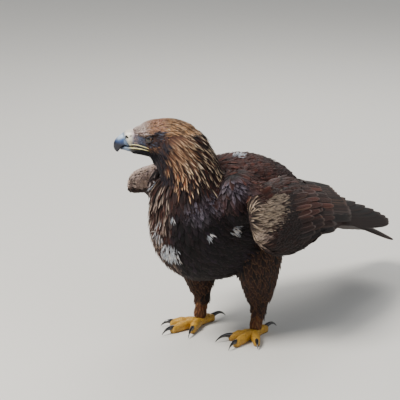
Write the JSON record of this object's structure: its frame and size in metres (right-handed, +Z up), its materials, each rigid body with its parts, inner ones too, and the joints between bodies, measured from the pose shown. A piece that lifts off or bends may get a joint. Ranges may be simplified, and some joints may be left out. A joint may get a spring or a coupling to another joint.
{
  "type": "golden eagle",
  "caption": "Life-size standing golden eagle with its head turned to its right, folded wings held a little open, golden neck feathers and taloned feet",
  "frame": {"origin": "on the floor under the middle of the bird's bounding box", "axes": "+Z up, -Y the way the breast faces, +X the bird's left"},
  "size_m": [0.3148, 0.6524, 0.4201],
  "materials": {
    "plumage": "soft dark brown body feathers",
    "hackle": "golden buff pointed neck feathers on dark bases",
    "wing": "dark brown flight feathers and coverts with paler edges",
    "bill": "smooth slate-blue horn, darker at the tip",
    "cere": "waxy pale yellow skin",
    "gape": "pale yellow mouth edge over grey horn",
    "eye": "wet dark brown",
    "toe": "scaled yellow skin",
    "talon": "polished black horn"
  },
  "bodies": {
    "root": {"head": "plumage", "neck": "hackle", "torso": "plumage", "left_wing": "wing", "right_wing": "wing", "tail": "wing", "cere": "cere", "upper_bill": "bill", "lower_bill": "gape", "eye_left": "eye", "eye_right": "eye", "left_thigh": "plumage", "right_thigh": "plumage", "left_shank": "plumage", "right_shank": "plumage", "left_foot": "toe", "right_foot": "toe", "left_inner_claw": "talon", "left_middle_claw": "talon", "left_outer_claw": "talon", "left_hind_claw": "talon", "right_inner_claw": "talon", "right_middle_claw": "talon", "right_outer_claw": "talon", "right_hind_claw": "talon"}
  },
  "joints": []
}
